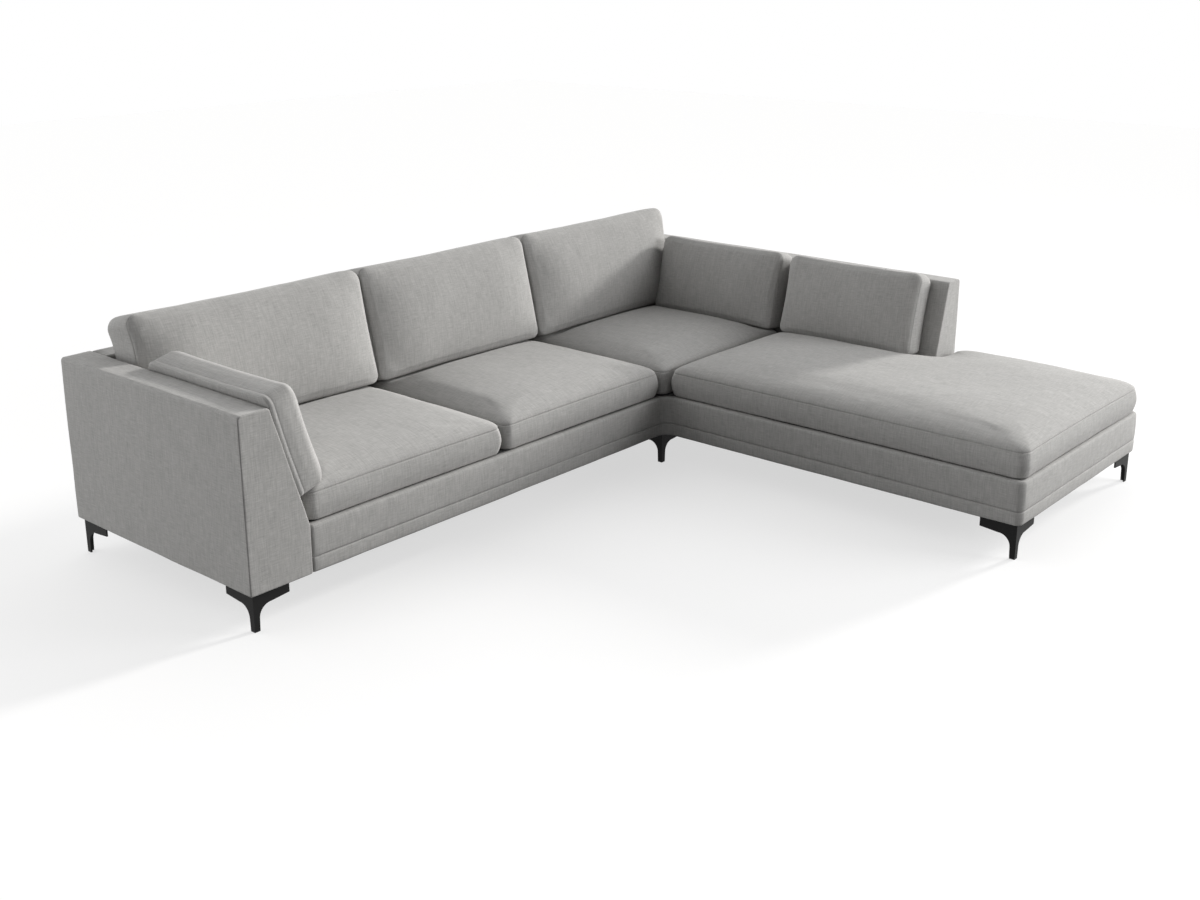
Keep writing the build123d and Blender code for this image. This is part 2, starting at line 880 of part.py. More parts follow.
def return_back_cushion(y_far):
    x_rest = x_return + back_slope * return_bed_rise - rest_gap
    cushion = leaning_cushion(
        Vector(x_rest, y_far, z_return_bed),
        Vector(0, -1, 0),
        Vector(sin(back_lean), 0, cos(back_lean)),
        Vector(-cos(back_lean), 0, sin(back_lean)),
        return_cushion_width,
        return_cushion_height,
        return_cushion_thickness,
        back_crown,
        (0, 0),
    )
    return standing(cushion, Plane.XY.offset(z_return_bed))


y_fourth = y_front + half_gap + return_cushion_gap + return_cushion_width
keep(return_back_cushion(y_fourth), "back_cushion_4")
keep(return_back_cushion(y_front - half_gap), "back_cushion_5")

arm_pad = leaning_cushion(
    pad_start,
    Vector(0, 1, 0),
    pad_up,
    pad_out,
    pad_length,
    pad_height,
    pad_thickness,
    pad_crown,
    (0, 0),
)
keep(standing(arm_pad, pad_bed), "arm_pad")


# Legs: two curved wings at a right angle under a bolted flange
z_flange = z_base - leg_flange_thickness


def wing(plane):
    """One wing seen square on: distance from the ridge, and height."""
    z_wing = z_base - leg_wing_depth
    throat = (leg_column + leg_splay, leg_column_height)
    bend = (leg_column + leg_throat_run, z_wing - leg_throat_drop)
    shoulder = (leg_column + leg_shoulder_run, z_wing - leg_shoulder_drop)
    with BuildSketch(plane) as outline:
        with BuildLine():
            Polyline((leg_wing, z_wing), (leg_wing, z_flange), (0, z_flange), (0, glide_thickness))
            Polyline((0, glide_thickness), (leg_column, glide_thickness), throat)
            ThreePointArc(throat, bend, shoulder)
            Line(shoulder, (leg_wing, z_wing))
        make_face()
    return outline.sketch


def angle(length, width, height):
    """An angle in plan, with its ridge on the origin and its wings along +X and +Y."""
    corners = [(0, 0), (length, 0), (length, width), (width, width), (width, length), (0, length)]
    with BuildSketch(Plane.XY.offset(height)) as outline:
        with BuildLine():
            Polyline(*corners, close=True)
        make_face()
    return outline.sketch


with BuildPart() as leg_pattern:
    extrude(wing(Plane(origin=(0, 0, 0), x_dir=(1, 0, 0), z_dir=(0, -1, 0))), amount=-leg_plate)
    extrude(wing(Plane(origin=(0, 0, 0), x_dir=(0, 1, 0), z_dir=(1, 0, 0))), amount=leg_plate)
    extrude(angle(leg_wing, leg_flange, z_flange), amount=leg_flange_thickness)
    for x, y in [(bolt_reach, bolt_offset), (bolt_offset, bolt_reach)]:
        hole = bolt_diameter + 2 * bolt_clearance
        shank(Plane((x, y, z_flange)), hole, leg_flange_thickness, mode=Mode.SUBTRACT)

with BuildPart() as glide_pattern:
    extrude(angle(leg_column, leg_plate, 0), amount=glide_thickness)


def leg_placed(pattern, ridge_x, ridge_y, way_x, way_y):
    """A pattern leg turned the way its wings run, about its ridge."""
    quarter_turns = {(1, 1): 0, (-1, 1): 90, (-1, -1): 180, (1, -1): 270}
    return pattern.moved(Location((ridge_x, ridge_y, 0), (0, 0, quarter_turns[way_x, way_y])))


for name, place in legs.items():
    keep(leg_placed(leg_pattern.part, *place), name)

with BuildPart() as foot_glides:
    for place in legs.values():
        add(leg_placed(glide_pattern.part, *place))
keep(foot_glides.part, "foot_glides")

with BuildPart() as leg_bolts:
    for x, y in bolt_places:
        shank(Plane((x, y, z_flange - bolt_head_height)), bolt_head_diameter, bolt_head_height, 6)
        shank(Plane((x, y, z_flange)), bolt_diameter, bolt_length + leg_flange_thickness - rest_gap)
keep(leg_bolts.part, "leg_bolts")

with BuildPart() as support_legs:
    for x, y in support_places:
        with Locations((x, y, z_base / 2)):
            Box(support_width, support_width, z_base)
        shank(Plane((x, y, z_base)), support_stud_diameter, support_stud_length - rest_gap)
keep(support_legs.part, "support_legs")

# Bolts that join the two modules through their neighbouring rails, with their nuts
with BuildPart() as joining_bolts:
    for y in joining_places:
        head = joining_plane(x_split - rail_thickness - joining_head_height, y)
        shank(head, joining_head_diameter, joining_head_height, 6)
        start = joining_plane(x_split - rail_thickness, y)
        shank(start, joining_bolt_diameter, 2 * (rail_thickness + joining_head_height))
keep(joining_bolts.part, "joining_bolts")

with BuildPart() as joining_nuts:
    for y in joining_places:
        start = joining_plane(x_split + rail_thickness, y)
        shank(start, joining_head_diameter, joining_head_height, 6)
        shank(start, joining_hole, joining_head_height, mode=Mode.SUBTRACT)
keep(joining_nuts.part, "joining_nuts")
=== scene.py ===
import math

import bmesh
import bpy
import numpy as np
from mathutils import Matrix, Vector
from mathutils.geometry import delaunay_2d_cdt


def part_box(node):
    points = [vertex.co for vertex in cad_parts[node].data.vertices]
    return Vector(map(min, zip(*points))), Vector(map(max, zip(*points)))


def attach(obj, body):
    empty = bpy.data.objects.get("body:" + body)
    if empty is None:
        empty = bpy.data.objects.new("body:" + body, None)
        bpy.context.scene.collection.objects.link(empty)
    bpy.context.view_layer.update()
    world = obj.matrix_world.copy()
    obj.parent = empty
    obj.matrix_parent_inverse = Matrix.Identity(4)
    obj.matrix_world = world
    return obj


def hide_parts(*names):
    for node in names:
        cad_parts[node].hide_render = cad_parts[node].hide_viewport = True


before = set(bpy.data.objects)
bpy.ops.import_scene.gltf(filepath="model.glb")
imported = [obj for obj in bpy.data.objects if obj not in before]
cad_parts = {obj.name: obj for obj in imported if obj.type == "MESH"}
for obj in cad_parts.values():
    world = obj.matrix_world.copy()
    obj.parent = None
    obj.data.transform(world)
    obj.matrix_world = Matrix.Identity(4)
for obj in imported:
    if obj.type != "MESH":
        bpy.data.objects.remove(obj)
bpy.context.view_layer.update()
mm = 0.001

# Planes and levels that the pieces share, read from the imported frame
band_low, band_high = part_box("main_front_band")
arm_low, arm_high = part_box("arm_cover")
back_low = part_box("back_cover_main")[0]
return_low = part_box("return_back_cover")[0]
end_low, end_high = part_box("return_end_band")
x_left, x_right = arm_low.x, end_high.x
x_arm, x_split, x_inner, x_return = band_low.x, band_high.x, end_low.x, return_low.x
y_front, y_rear, y_end = arm_low.y, arm_high.y, end_low.y
y_back, y_back_end = back_low.y, return_low.y
z_base, z_band, z_top = band_low.z, band_high.z, arm_high.z

# Slopes of the arm and the backs above the seat platform
arm_top_width = 112 * mm
back_top_depth = 96 * mm
arm_slope = (x_arm - x_left - arm_top_width) / (z_top - z_band)
back_slope = (y_rear - y_back - back_top_depth) / (z_top - z_band)
arm_lean = math.atan(arm_slope)
back_lean = math.atan(back_slope)


# Outlines
grid_clearance = 0.6


def unit(v):
    return v / np.linalg.norm(v)


def left_of(v):
    return np.array([-v[1], v[0]])


class Outline:
    """A closed outline with rounded corners, counter-clockwise, whose sides can be drawn in."""

    def __init__(self, corners, radii, spacing, growth=0.0, draw_in=0.0, arc_steps=8):
        self.corners = [np.array(c, float) for c in corners]
        self.radii = radii
        self.growth = growth
        self.draw_in = draw_in
        self.arc_steps = arc_steps
        self.runs = None
        arcs = self.arcs(0.0)
        self.runs = [
            max(2, round(np.linalg.norm(arcs[(k + 1) % len(arcs)][0] - arc[-1]) / spacing))
            for k, arc in enumerate(arcs)
        ]

    def arcs(self, inset):
        """The rounded corners of the outline set in by inset."""
        found = []
        for k, corner in enumerate(self.corners):
            before = unit(corner - self.corners[k - 1])
            after = unit(self.corners[(k + 1) % len(self.corners)] - corner)
            turn = math.atan2(before[0] * after[1] - before[1] * after[0], before @ after)
            inward = left_of(before) + left_of(after)
            tip = corner + inward * inset / (1 + left_of(before) @ left_of(after))
            if turn > 0:
                radius = max(self.radii[k] + self.growth * inset, 1 * mm)
            else:
                radius = self.radii[k] + inset
            start = tip - before * radius * math.tan(abs(turn) / 2)
            centre = start + left_of(before) * math.copysign(radius, turn)
            angles = turn * np.linspace(0, 1, self.arc_steps + 1)
            spoke = start - centre
            found.append(
                np.stack(
                    [
                        centre[0] + spoke[0] * np.cos(angles) - spoke[1] * np.sin(angles),
                        centre[1] + spoke[0] * np.sin(angles) + spoke[1] * np.cos(angles),
                    ],
                    axis=1,
                )
            )
        return found

    def ring(self, inset):
        """Points round the outline set in by inset, always as many."""
        arcs = self.arcs(inset)
        points = []
        for k, arc in enumerate(arcs):
            points.append(arc)
            start, end = arc[-1], arcs[(k + 1) % len(arcs)][0]
            share = np.linspace(0, 1, self.runs[k] + 1)[1:-1, None]
            inward = left_of(unit(end - start))
            points.append(start + (end - start) * share + inward * self.draw_in * 4 * share * (1 - share))
        return np.concatenate(points)


def inside_points(ring, spacing):
    """A grid of points inside a ring, clear of it."""
    low, high = ring.min(0), ring.max(0)
    counts = np.maximum(np.round((high - low) / spacing).astype(int), 1)
    grid = np.stack(
        np.meshgrid(*[np.linspace(low[i], high[i], counts[i] + 1) for i in range(2)]), axis=-1
    ).reshape(-1, 2)
    a, b = ring, np.roll(ring, -1, axis=0)
    run = b - a
    offset = grid[:, None, :] - a
    share = np.clip((offset * run).sum(-1) / (run * run).sum(-1), 0, 1)
    gap = np.linalg.norm(offset - share[..., None] * run, axis=-1).min(1)
    crosses = (a[:, 1] > grid[:, None, 1]) != (b[:, 1] > grid[:, None, 1])
    rise = np.where(run[:, 1] == 0, 1e-12, run[:, 1])
    at = a[:, 0] + (grid[:, None, 1] - a[:, 1]) / rise * run[:, 0]
    within = (crosses & (grid[:, None, 0] < at)).sum(1) % 2 == 1
    return grid[within & (gap > grid_clearance * spacing)]


def filled(ring, spacing):
    """Triangles over the inside of a ring: extra points, and faces that count the ring's points first."""
    extra = inside_points(ring, spacing)
    points = [Vector(p) for p in np.concatenate([ring, extra])]
    faces = delaunay_2d_cdt(points, [], [list(range(len(ring)))], 1, 1e-7)
    order = [ids[0] if ids else -1 for ids in faces[3]]
    return extra, [[order[i] for i in face] for face in faces[2]]


# Meshes

def new_piece(name, points, faces):
    mesh = bpy.data.meshes.new(name)
    mesh.from_pydata([tuple(p) for p in points], [], faces)
    shape = bmesh.new()
    shape.from_mesh(mesh)
    bmesh.ops.recalc_face_normals(shape, faces=shape.faces)
    shape.to_mesh(mesh)
    shape.free()
    mesh.polygons.foreach_set("use_smooth", [True] * len(mesh.polygons))
    piece = bpy.data.objects.new(name, mesh)
    bpy.context.scene.collection.objects.link(piece)
    return piece


def stacked(name, rings, levels, place, low_spacing, high_spacing, crown=None):
    """A closed form through rings of points, closed at both ends, and the number of each point's ring."""
    count = len(rings[0])
    row_of = np.repeat(np.arange(len(rings)), count)
    flat = np.concatenate(rings)
    level = np.concatenate([np.broadcast_to(h, count) for h in levels])
    faces = []
    for row in range(len(rings) - 1):
        for i in range(count):
            low, high = row * count, (row + 1) * count
            j = (i + 1) % count
            faces.append([low + i, low + j, high + j, high + i])
    for ring, start, spacing, edge, row in [
        (rings[0], 0, low_spacing, levels[0], -1),
        (rings[-1], (len(rings) - 1) * count, high_spacing, levels[-1], len(rings)),
    ]:
        extra, triangles = filled(ring, spacing)
        base = len(flat)
        faces += [[start + i if i < count else base + i - count for i in t] for t in triangles]
        flat = np.concatenate([flat, extra])
        row_of = np.concatenate([row_of, np.full(len(extra), row)])
        edge = np.broadcast_to(edge, count)
        near = np.linalg.norm(extra[:, None] - ring[None], axis=-1) ** -3
        level = np.concatenate([level, (near * edge).sum(1) / near.sum(1)])
    if crown is not None:
        level = level + crown(flat[:, 0], flat[:, 1], level)
    return new_piece(name, place(flat[:, 0], flat[:, 1], level), faces), row_of


def coordinates(piece):
    found = np.empty(len(piece.data.vertices) * 3, np.float32)
    piece.data.vertices.foreach_get("co", found)
    return found.reshape(-1, 3).astype(float)


def set_coordinates(piece, points):
    piece.data.vertices.foreach_set("co", points.astype(np.float32).ravel())
    piece.data.update()


def normals(piece):
    found = np.empty(len(piece.data.vertices) * 3, np.float32)
    piece.data.vertices.foreach_get("normal", found)
    return found.reshape(-1, 3).astype(float)


def settled(piece, depth, length, phase):
    """Gives a padded surface the slight unevenness of filled cloth."""
    points = coordinates(piece)
    wave = np.zeros(len(points))
    for k, (a, b, c) in enumerate([(1.0, 0.4, 0.7), (-0.5, 1.0, 0.3), (0.3, -0.7, 1.0), (0.9, 0.8, -0.6)]):
        run = points @ np.array([a, b, c]) * 2 * math.pi / (length * (1 - 0.13 * k))
        wave += np.sin(run + phase * (k + 1) + np.sin(run * 0.6 + k)) / 4
    set_coordinates(piece, points + normals(piece) * (depth * wave)[:, None])


def stitched(piece, points, depth):
    """Draws a seam in, along the points given."""
    moved = coordinates(piece)
    moved[points] -= normals(piece)[points] * depth
    set_coordinates(piece, moved)


def softened(piece, levels=1):
    smooth = piece.modifiers.new("soft", "SUBSURF")
    smooth.levels = levels
    smooth.render_levels = levels


def eased_min(a, b, width):
    """The lower of a and b, with a soft change from one to the other."""
    share = np.clip(0.5 + 0.5 * (b - a) / width, 0, 1)
    return b * (1 - share) + a * share - width * share * (1 - share)


# Simulation of the filled covers
puff_frames = 16
puff_rounds = 40
puff_pressure = 2.0


def evened(moved, piece, held, rounds):
    """Spreads movement over neighbouring points, which takes wrinkles out; held points stay."""
    ends = np.empty(2 * len(piece.data.edges), int)
    piece.data.edges.foreach_get("vertices", ends)
    one, other = ends.reshape(-1, 2).T
    count = len(moved)
    neighbours = np.bincount(ends, minlength=count)
    both = np.concatenate([one, other])
    across = np.concatenate([other, one])
    for _ in range(rounds):
        total = [np.bincount(both, moved[across, i], count) / neighbours for i in range(3)]
        moved = np.where(held[:, None], 0, (moved + np.stack(total, axis=1)) / 2)
    return moved


def puffed(piece, held, cap):
    """Fills a sewn cover with pressure; held points stay, and cap is how far each other one may move."""
    before = coordinates(piece)
    group = piece.vertex_groups.new(name="held")
    for i, weight in enumerate(held):
        group.add([i], float(weight), "REPLACE")
    cloth = piece.modifiers.new("cover", "CLOTH")
    cloth.settings.quality = 5
    cloth.settings.mass = 0.35
    cloth.settings.tension_stiffness = 25
    cloth.settings.compression_stiffness = 25
    cloth.settings.shear_stiffness = 12
    cloth.settings.bending_stiffness = 1.5
    cloth.settings.air_damping = 4
    cloth.settings.vertex_group_mass = "held"
    cloth.settings.use_pressure = True
    cloth.settings.uniform_pressure_force = puff_pressure
    cloth.settings.effector_weights.gravity = 0
    cloth.collision_settings.use_collision = False
    cloth.point_cache.frame_start = 1
    cloth.point_cache.frame_end = puff_frames
    scene = bpy.context.scene
    for number in range(1, puff_frames + 1):
        scene.frame_set(number)
    evaluated = piece.evaluated_get(bpy.context.evaluated_depsgraph_get())
    after = coordinates(evaluated)
    piece.modifiers.remove(cloth)
    piece.vertex_groups.remove(group)
    scene.frame_set(1)
    moved = evened(after - before, piece, held, puff_rounds)
    length = np.linalg.norm(moved, axis=1)
    cap = np.maximum(cap, 1e-6)
    scale = cap * np.tanh(length / cap) / np.maximum(length, 1e-9)
    set_coordinates(piece, before + moved * scale[:, None])


# Materials: node helpers

def node_of(tree, kind, **values):
    node = tree.nodes.new(kind)
    for key, value in values.items():
        setattr(node, key, value)
    return node


def worked(tree, operation, *inputs):
    """A math node on links or numbers, and its output."""
    node = node_of(tree, "ShaderNodeMath", operation=operation)
    for socket, value in zip(node.inputs, inputs):
        if isinstance(value, (int, float)):
            socket.default_value = value
        else:
            tree.links.new(value, socket)
    return node.outputs[0]


def noise_at(tree, vector, scale, detail=2.0, roughness=0.55):
    node = node_of(tree, "ShaderNodeTexNoise")
    node.inputs["Scale"].default_value = scale
    node.inputs["Detail"].default_value = detail
    node.inputs["Roughness"].default_value = roughness
    tree.links.new(vector, node.inputs["Vector"])
    return node.outputs["Fac"]


def new_group(name, inputs, outputs):
    tree = bpy.data.node_groups.new(name, "ShaderNodeTree")
    for label, value in inputs:
        socket = tree.interface.new_socket(label, in_out="INPUT", socket_type="NodeSocketFloat")
        socket.default_value = value
    for label in outputs:
        tree.interface.new_socket(label, in_out="OUTPUT", socket_type="NodeSocketFloat")
    return tree, node_of(tree, "NodeGroupInput").outputs, node_of(tree, "NodeGroupOutput").inputs


def woven_face_group():
    """Plain weave seen square on: A and B run along the threads, in metres."""
    tree, given, made = new_group(
        "woven_face",
        [("A", 0), ("B", 0), ("Thread", 1.8 * mm), ("Slub Length", 42 * mm), ("Slub Width", 2.4 * mm)],
        ["Slub", "Thread Height"],
    )
    slubs = []
    for along, across, shift in [("A", "B", 0.0), ("B", "A", 7.3)]:
        vector = node_of(tree, "ShaderNodeCombineXYZ")
        tree.links.new(worked(tree, "DIVIDE", given[along], given["Slub Length"]), vector.inputs[0])
        tree.links.new(worked(tree, "DIVIDE", given[across], given["Slub Width"]), vector.inputs[1])
        vector.inputs[2].default_value = shift
        slubs.append(noise_at(tree, vector.outputs[0], 1.0, 2.0, 0.6))
    tree.links.new(worked(tree, "SUBTRACT", worked(tree, "ADD", *slubs), 1.0), made["Slub"])
    waves = []
    for axis in ["A", "B"]:
        turn = worked(tree, "MULTIPLY", worked(tree, "DIVIDE", given[axis], given["Thread"]), math.pi)
        waves.append(worked(tree, "SINE", turn))
    tree.links.new(worked(tree, "MULTIPLY", *waves), made["Thread Height"])
    return tree


def linen_group(woven_face):
    """Weave laid on from the three sides by the surface's direction, so it needs no unwrapping."""
    tree, given, made = new_group(
        "linen",
        [("Slub Contrast", 0.3), ("Thread Contrast", 0.06), ("Patch Contrast", 0.08)],
        ["Tone", "Height"],
    )
    place = node_of(tree, "ShaderNodeTexCoord").outputs["Object"]
    split = node_of(tree, "ShaderNodeSeparateXYZ")
    tree.links.new(place, split.inputs[0])
    facing = node_of(tree, "ShaderNodeSeparateXYZ")
    tree.links.new(node_of(tree, "ShaderNodeNewGeometry").outputs["Normal"], facing.inputs[0])
    weights = [worked(tree, "POWER", worked(tree, "ABSOLUTE", facing.outputs[i]), 6.0) for i in range(3)]
    total = worked(tree, "ADD", worked(tree, "ADD", weights[0], weights[1]), weights[2])
    slub, thread = 0.0, 0.0
    for weight, (a, b) in zip(weights, [(1, 2), (0, 2), (0, 1)]):
        face = node_of(tree, "ShaderNodeGroup", node_tree=woven_face)
        tree.links.new(split.outputs[a], face.inputs["A"])
        tree.links.new(split.outputs[b], face.inputs["B"])
        share = worked(tree, "DIVIDE", weight, total)
        slub = worked(tree, "MULTIPLY_ADD", face.outputs["Slub"], share, slub)
        thread = worked(tree, "MULTIPLY_ADD", face.outputs["Thread Height"], share, thread)
    patch = worked(tree, "SUBTRACT", noise_at(tree, place, 9.0, 3.0), 0.5)
    tone = worked(tree, "MULTIPLY_ADD", slub, given["Slub Contrast"], 1.0)
    tone = worked(tree, "MULTIPLY_ADD", thread, given["Thread Contrast"], tone)
    tone = worked(tree, "MULTIPLY_ADD", patch, given["Patch Contrast"], tone)
    tree.links.new(tone, made["Tone"])
    height = worked(tree, "MULTIPLY_ADD", slub, 0.7, worked(tree, "MULTIPLY", thread, 0.3))
    tree.links.new(height, made["Height"])
    return tree


linen = linen_group(woven_face_group())


def new_material(name, colour, roughness):
    material = bpy.data.materials.new(name)
    material.use_nodes = True
    shader = material.node_tree.nodes["Principled BSDF"]
    shader.inputs["Base Color"].default_value = (*colour, 1)
    shader.inputs["Roughness"].default_value = roughness
    return material, material.node_tree, shader


def toned(tree, shader, colour, tone):
    """Colours the shader by a tone around 1."""
    mix = node_of(tree, "ShaderNodeMix", data_type="RGBA", blend_type="MULTIPLY")
    mix.inputs["Factor"].default_value = 1.0
    mix.inputs["A"].default_value = (*colour, 1)
    tree.links.new(tone, mix.inputs["B"])
    tree.links.new(mix.outputs["Result"], shader.inputs["Base Color"])


def bumped(tree, shader, height, strength, distance):
    bump = node_of(tree, "ShaderNodeBump")
    bump.inputs["Strength"].default_value = strength
    bump.inputs["Distance"].default_value = distance
    tree.links.new(height, bump.inputs["Height"])
    tree.links.new(bump.outputs[0], shader.inputs["Normal"])


def cloth_material(name, colour, slub, thread, patch, sheen):
    material, tree, shader = new_material(name, colour, 0.92)
    weave = node_of(tree, "ShaderNodeGroup", node_tree=linen)
    weave.inputs["Slub Contrast"].default_value = slub
    weave.inputs["Thread Contrast"].default_value = thread
    weave.inputs["Patch Contrast"].default_value = patch
    toned(tree, shader, colour, weave.outputs["Tone"])
    bumped(tree, shader, weave.outputs["Height"], 0.2, 0.8 * mm)
    shader.inputs["Specular IOR Level"].default_value = 0.0
    shader.inputs["Sheen Weight"].default_value = sheen
    shader.inputs["Sheen Roughness"].default_value = 0.6
    return material


def grained_material(name, colour, roughness, metallic, scale, contrast, stretch=(1, 1, 1)):
    """Metal, plastic or wood with a fine grain stretched one way."""
    material, tree, shader = new_material(name, colour, roughness)
    shader.inputs["Metallic"].default_value = metallic
    place = node_of(tree, "ShaderNodeTexCoord").outputs["Object"]
    mapping = node_of(tree, "ShaderNodeMapping")
    mapping.inputs["Scale"].default_value = stretch
    tree.links.new(place, mapping.inputs["Vector"])
    grain = noise_at(tree, mapping.outputs[0], scale, 4.0, 0.6)
    tone = worked(tree, "MULTIPLY_ADD", worked(tree, "SUBTRACT", grain, 0.5), contrast, 1.0)
    toned(tree, shader, colour, tone)
    bumped(tree, shader, grain, 0.12, 0.4 * mm)
    return material


upholstery = cloth_material("grey_linen", (0.435, 0.43, 0.42), 0.62, 0.06, 0.06, 0.06)
platform_cloth = cloth_material("platform_cloth", (0.12, 0.12, 0.12), 0.15, 0.10, 0.10, 0.0)
dust_cloth = cloth_material("dust_cloth", (0.025, 0.025, 0.025), 0.25, 0.15, 0.25, 0.0)
webbing_cloth = cloth_material("webbing_cloth", (0.16, 0.15, 0.13), 0.2, 0.25, 0.10, 0.0)
sawn_timber = grained_material("sawn_timber", (0.52, 0.38, 0.23), 0.7, 0.0, 8.0, 0.5, (1, 1, 14))
black_metal = grained_material("black_powder_coat", (0.007, 0.007, 0.007), 0.5, 0.0, 900.0, 0.4)
black_metal.node_tree.nodes["Principled BSDF"].inputs["Specular IOR Level"].default_value = 0.15
zinc_steel = grained_material("zinc_steel", (0.55, 0.55, 0.57), 0.35, 1.0, 300.0, 0.3)
glide_plastic = grained_material("glide_plastic", (0.02, 0.02, 0.02), 0.6, 0.0, 500.0, 0.3)


def dressed(piece, body, *nodes):
    """An upholstered piece that stands for its solids and moves with their body."""
    piece.data.materials.append(upholstery)
    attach(piece, body)
    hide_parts(*nodes)
    return piece


# Seat cushions: boxing below a seam, and a top panel that rolls over the front to it
seat_spacing = 14 * mm
seat_under_spacing = 60 * mm
seat_top_spacing = 16 * mm
seat_seam = 93 * mm
seat_shoulder = 130 * mm
seat_crown = 25 * mm
seat_roll = 92 * mm
crown_reach = 330 * mm
seat_bed = z_band + 124 * mm
return_bed = z_band + 116 * mm
main_ledge = y_back - 108 * mm
return_ledge = x_return - 72 * mm
boxing_rows = [
    (40, 0), (15, 0), (9.5, 2.5), (7, 8), (4, 20),
    (1, 36), (0, 50), (1, 64), (3.5, 78), (5.5, 86),
]
seam_rows = [(6.4, 91.2), (6.8, 93), (7.2, 94.8)]
seat_seam_row = len(boxing_rows) + 1
stitch_depth = 4.5 * mm
seam_margin = 1 * mm
notch_margin = 100 * mm
seat_swell = 5 * mm
seat_unevenness = 1.3 * mm
seat_wave = 420 * mm
side_draw = 4 * mm
pressed_edge = 12 * mm
hidden_reach = 160 * mm


def seat_rows():
    """Inset and height of each ring, from the underside to the shoulder."""
    rows = [(inset * mm, height * mm) for inset, height in boxing_rows + seam_rows]
    start, level = rows[-1]
    for angle in np.radians(np.linspace(7, 90, 12)):
        run = seat_roll * (1 - math.cos(angle))
        rows.append((start + run, level + (seat_shoulder - level) * math.sin(angle)))
    return rows


def rounded_share(distance, reach):
    """From 0 at an edge to 1 at reach and beyond."""
    return 1 - (1 - np.clip(distance / reach, 0, 1)) ** 2


def fullness(row_of, seam_row, rows):
    """How freely the filling swells: least at the seam and the underside, most inside the top panel."""
    above = np.clip((row_of - seam_row) / (rows - seam_row), 0, 1)
    below = np.clip(row_of / seam_row, 0, 1)
    return np.where(row_of > seam_row, above, 1.2 * below * (1 - below))


def seat_cushion(name, corners, radii, beds, phase, rear_reach=hidden_reach):
    low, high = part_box(name)
    outline = Outline(corners, radii, seat_spacing, growth=0.45, draw_in=side_draw)
    rows = seat_rows()
    hollow = [
        corner
        for corner in corners
        if corner[0] < high.x - notch_margin and low.y + notch_margin < corner[1] < high.y - notch_margin
    ]

    def crown(x, y, level):
        share = rounded_share(x - low.x, crown_reach) * rounded_share(high.x - x, crown_reach)
        share = share * rounded_share(y - low.y, crown_reach) * rounded_share(high.y - y, rear_reach)
        for notch in hollow:
            gap = np.hypot(np.maximum(notch[0] - x, 0), np.maximum(notch[1] - y, 0))
            share = share * rounded_share(gap, crown_reach)
        return np.where(level > seat_seam + seam_margin, seat_crown * share, 0)

    def place(x, y, level):
        return np.stack([x, y, low.z + level], axis=1)

    rings = [outline.ring(inset) for inset, height in rows]
    levels = [height for inset, height in rows]
    cushion, row_of = stacked(
        "cushion." + name, rings, levels, place, seat_under_spacing, seat_top_spacing, crown
    )
    held = (row_of <= 2) | (row_of == seat_seam_row)
    puffed(cushion, held, fullness(row_of, seat_seam_row, len(rows)) * seat_swell)
    settled(cushion, seat_unevenness, seat_wave, phase)
    points = coordinates(cushion)
    for bed in beds:
        points[:, 2] = eased_min(points[:, 2], bed(points[:, 0], points[:, 1]), pressed_edge)
    points[:, 2] = np.maximum(points[:, 2], low.z)
    set_coordinates(cushion, points)
    stitched(cushion, row_of == seat_seam_row, stitch_depth)
    softened(cushion)
    return cushion


press_rise = 9.0
press_gap = 1 * mm


def main_bed(x, y):
    """Under the main back cushions the seats are pressed down."""
    return seat_bed - press_gap + press_rise * np.maximum(main_ledge - y, 0) ** 2


def corner_bed(x, y):
    """Under the fourth back cushion the corner seat is pressed down."""
    return return_bed - press_gap + press_rise * np.maximum(return_ledge - x, 0) ** 2


pad_low, pad_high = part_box("arm_pad")
chaise_low, chaise_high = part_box("seat_cushion_chaise")
fifth_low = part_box("back_cushion_5")[0]
pad_seat_rise = 92 * mm
x_pad = x_arm - arm_slope * pad_seat_rise
z_pad = z_band + pad_seat_rise
pad_reach = 112 * mm
pad_press_gap = 1.5 * mm


def pad_bed(x, y):
    """Under the arm pad the first seat is pressed down, square to the arm."""
    level = z_pad - pad_press_gap + (x - x_pad) * math.tan(arm_lean)
    beyond = np.hypot(np.maximum(x - x_pad - pad_reach, 0), np.maximum(y - pad_high.y, 0))
    return level + press_rise * beyond**2


def chaise_bed(x, y):
    """Under the fifth back cushion the chaise seat is pressed down."""
    beyond = np.hypot(np.maximum(return_ledge - x, 0), np.maximum(fifth_low.y - y, 0))
    return return_bed - press_gap + press_rise * beyond**2


def box_corners(name):
    low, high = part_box(name)
    return [(low.x, low.y), (high.x, low.y), (high.x, high.y), (low.x, high.y)]


notch_gap = 12 * mm
x_notch, y_notch = x_return - notch_gap, y_back_end - notch_gap
chaise_overhang = 8 * mm
chaise_corners = [
    (chaise_low.x, chaise_low.y - chaise_overhang),
    (chaise_high.x + chaise_overhang, chaise_low.y - chaise_overhang),
    (chaise_high.x + chaise_overhang, y_notch),
    (x_notch, y_notch),
    (x_notch, chaise_high.y),
    (chaise_low.x, chaise_high.y),
]
corner_radii = [30 * mm] * 4
chaise_radii = [34 * mm, 40 * mm, 22 * mm, 28 * mm, 28 * mm, 28 * mm]
for body, name, beds, phase in [
    ("seat_1", "seat_cushion_1", [main_bed, pad_bed], 0.3),
    ("seat_2", "seat_cushion_2", [main_bed], 1.1),
    ("seat_corner", "seat_cushion_corner", [main_bed, corner_bed], 2.2),
]:
    seat = seat_cushion(name, box_corners(name), corner_radii, beds, phase)
    dressed(seat, body, name)
chaise = seat_cushion("seat_cushion_chaise", chaise_corners, chaise_radii, [chaise_bed], 3.4, crown_reach)
dressed(chaise, "seat_chaise", "seat_cushion_chaise")


